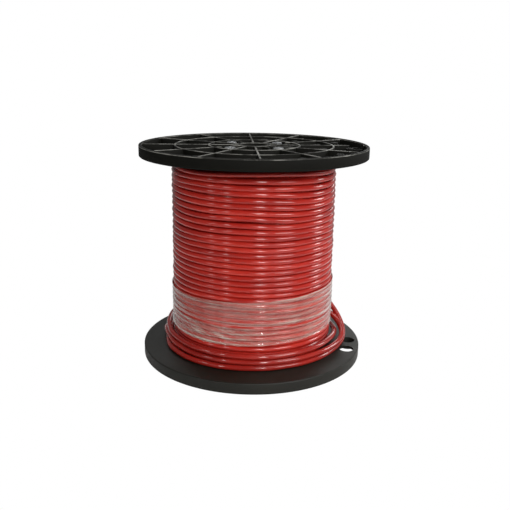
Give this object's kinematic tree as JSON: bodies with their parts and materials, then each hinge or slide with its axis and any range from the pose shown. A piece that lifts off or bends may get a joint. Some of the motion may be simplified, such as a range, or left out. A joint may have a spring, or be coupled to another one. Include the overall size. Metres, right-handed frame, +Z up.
{
  "type": "wire spool",
  "caption": "Two-flange moulded cable reel with insulated building wire wound on its barrel, held by a band of clear film.",
  "frame": {"origin": "centre of the lower flange's rim, on the plane that the spool stands on", "axes": "+Z up along the reel's axis, +X towards the two tie-off holes of each flange, -Y towards the side where the slack turns lie close to the winding"},
  "size_m": [0.2666, 0.2666, 0.254],
  "materials": {
    "black_plastic": "satin black moulded plastic",
    "barrel_plastic": "matt black plastic tube",
    "red_insulation": "glossy red nylon-jacketed insulation",
    "zinc_steel": "bright zinc-plated steel",
    "clear_film": "clear stretch film",
    "copper": "bare copper strands"
  },
  "bodies": {
    "root": {"lower_flange": "black_plastic", "upper_flange": "black_plastic", "barrel": "barrel_plastic", "wire_winding": "red_insulation", "tie_bolt_1": "zinc_steel", "tie_bolt_2": "zinc_steel", "tie_bolt_3": "zinc_steel", "tie_bolt_4": "zinc_steel", "bolt_washer_1": "zinc_steel", "bolt_washer_2": "zinc_steel", "bolt_washer_3": "zinc_steel", "bolt_washer_4": "zinc_steel", "nut_washer_1": "zinc_steel", "nut_washer_2": "zinc_steel", "nut_washer_3": "zinc_steel", "nut_washer_4": "zinc_steel", "tie_nut_1": "zinc_steel", "tie_nut_2": "zinc_steel", "tie_nut_3": "zinc_steel", "tie_nut_4": "zinc_steel", "stretch_film": "clear_film", "loose_turns": "red_insulation", "lead_wire": "red_insulation", "wire_tail": "red_insulation", "wire_end": "copper"}
  },
  "joints": []
}
